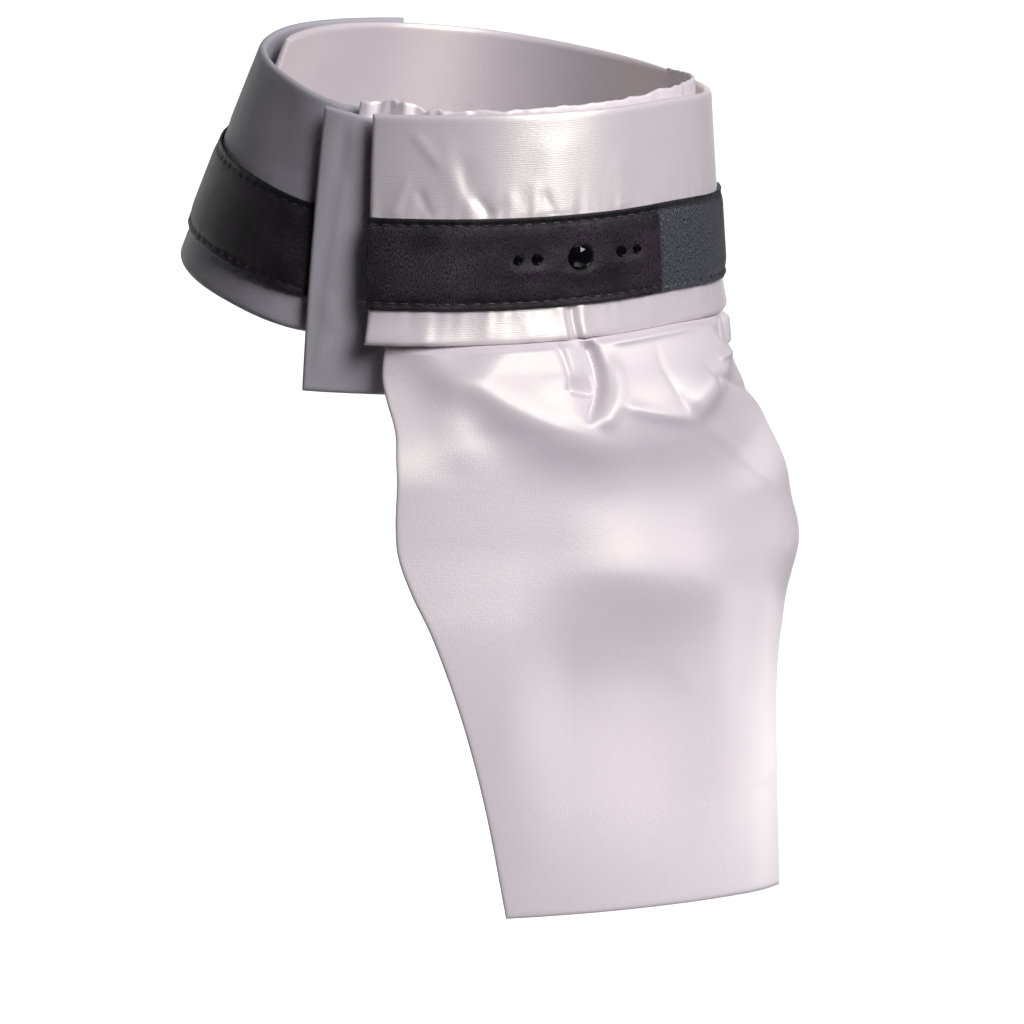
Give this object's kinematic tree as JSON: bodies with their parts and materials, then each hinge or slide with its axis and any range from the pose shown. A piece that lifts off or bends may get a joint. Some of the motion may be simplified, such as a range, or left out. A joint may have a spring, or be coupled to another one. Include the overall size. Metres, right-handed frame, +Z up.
{
  "type": "ready-tied riding cravat",
  "caption": "Stand-up neck band closed at the back, with a dark ribbon and cut stones at the front and a draped satin bib hanging from its lower edge",
  "frame": {"origin": "Middle of the neck opening, half way up the band, where the neck goes through", "axes": "+Z up, -Y towards the wearer's front, +X towards the wearer's left; the neck's own line leans 9 degrees forward of +Z"},
  "size_m": [0.1233, 0.1439, 0.1896],
  "materials": {
    "white_satin": "white polyester satin with a soft directional sheen",
    "lapped_cloth": "white closely woven cloth with a faint diagonal twill, half matte",
    "lining_satin": "thin white satin, lightly crumpled at the rim",
    "black_ribbon": "black satin ribbon with stitched edges",
    "cut_glass": "black cut glass, polished facets",
    "hook_and_loop": "white hook-and-loop tape, matte"
  },
  "bodies": {
    "root": {"over_band": "white_satin", "under_band": "lapped_cloth", "over_ribbon": "black_ribbon", "under_ribbon": "black_ribbon", "lining_cloth": "lining_satin", "side_flap": "lapped_cloth", "bib": "white_satin", "back_fastener": "hook_and_loop", "stone_small_right": "cut_glass", "stone_medium_right": "cut_glass", "stone_centre": "cut_glass", "stone_medium_left": "cut_glass", "stone_small_left": "cut_glass"}
  },
  "joints": []
}
